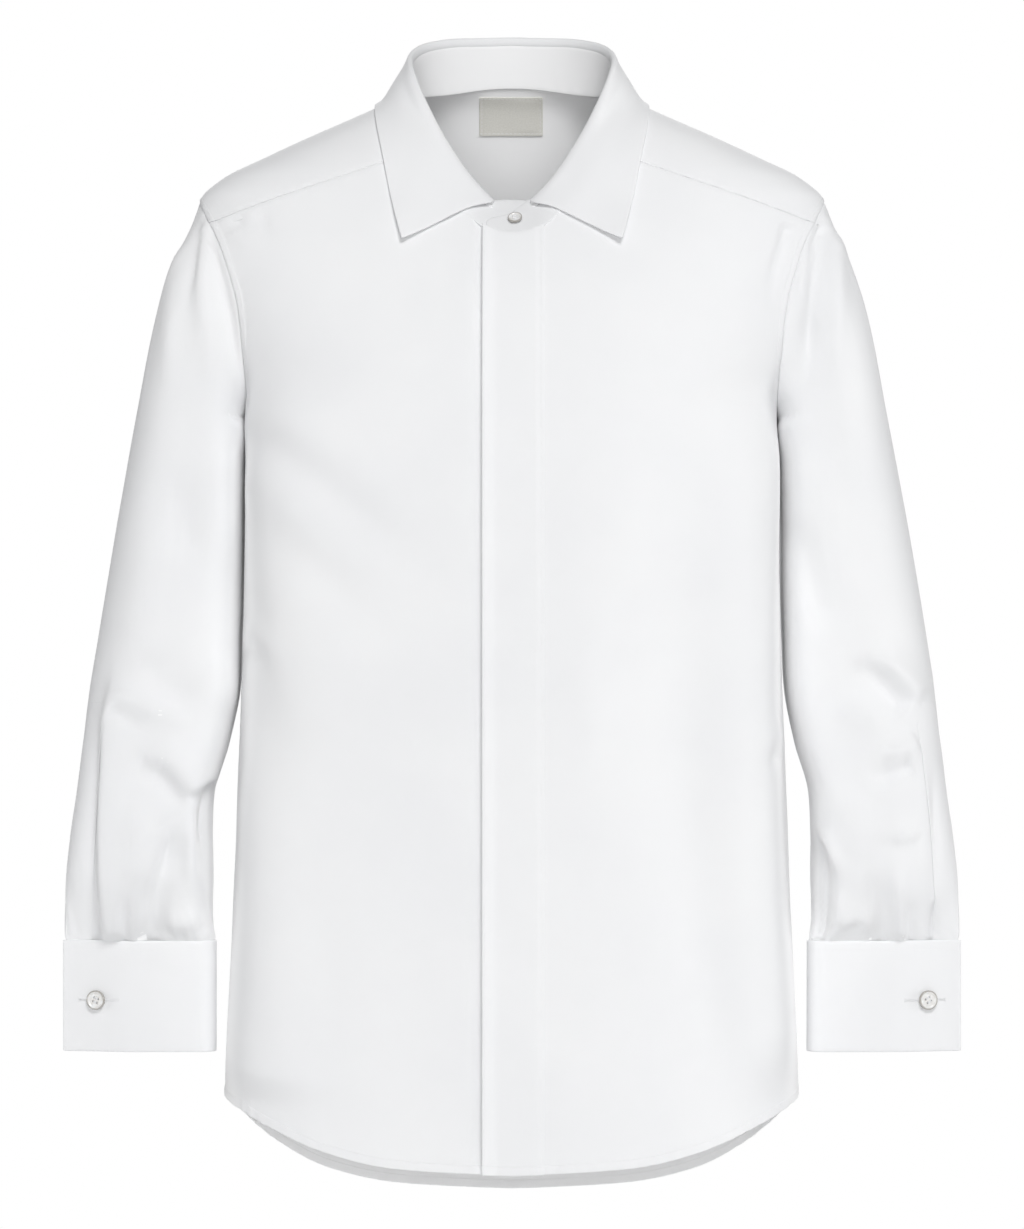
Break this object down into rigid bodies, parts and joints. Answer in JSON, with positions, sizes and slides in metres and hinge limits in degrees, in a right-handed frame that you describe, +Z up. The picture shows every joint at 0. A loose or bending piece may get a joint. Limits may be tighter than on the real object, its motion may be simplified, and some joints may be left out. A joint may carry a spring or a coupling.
{
  "type": "long sleeve dress shirt",
  "caption": "White cotton dress shirt with a semi-spread collar, a fly front, long sleeves, buttoned cuffs and a curved tail, filled out with no wearer.",
  "frame": {"origin": "middle of the neck opening at the height of the neck seam, where the wearer's neck comes out", "axes": "+Z up along the body, -Y to the front, +X to the wearer's left"},
  "size_m": [0.633, 0.2545, 0.8354],
  "materials": {
    "cotton": "smooth white cotton broadcloth",
    "firm_cotton": "fused white cotton, smoother and firmer",
    "label_satin": "warm grey woven satin, bare",
    "pearl": "pearl white, softly glossy"
  },
  "bodies": {
    "root": {"front_left": "cotton", "front_right": "cotton", "placket": "cotton", "back": "cotton", "yoke": "cotton", "collar_stand": "firm_cotton", "collar_leaf": "firm_cotton", "sleeve_left": "cotton", "sleeve_right": "cotton", "gauntlet_left": "cotton", "gauntlet_right": "cotton", "cuff_left": "firm_cotton", "cuff_right": "firm_cotton", "label": "label_satin", "collar_button": "pearl", "cuff_button_left": "pearl", "cuff_button_right": "pearl"}
  },
  "joints": []
}
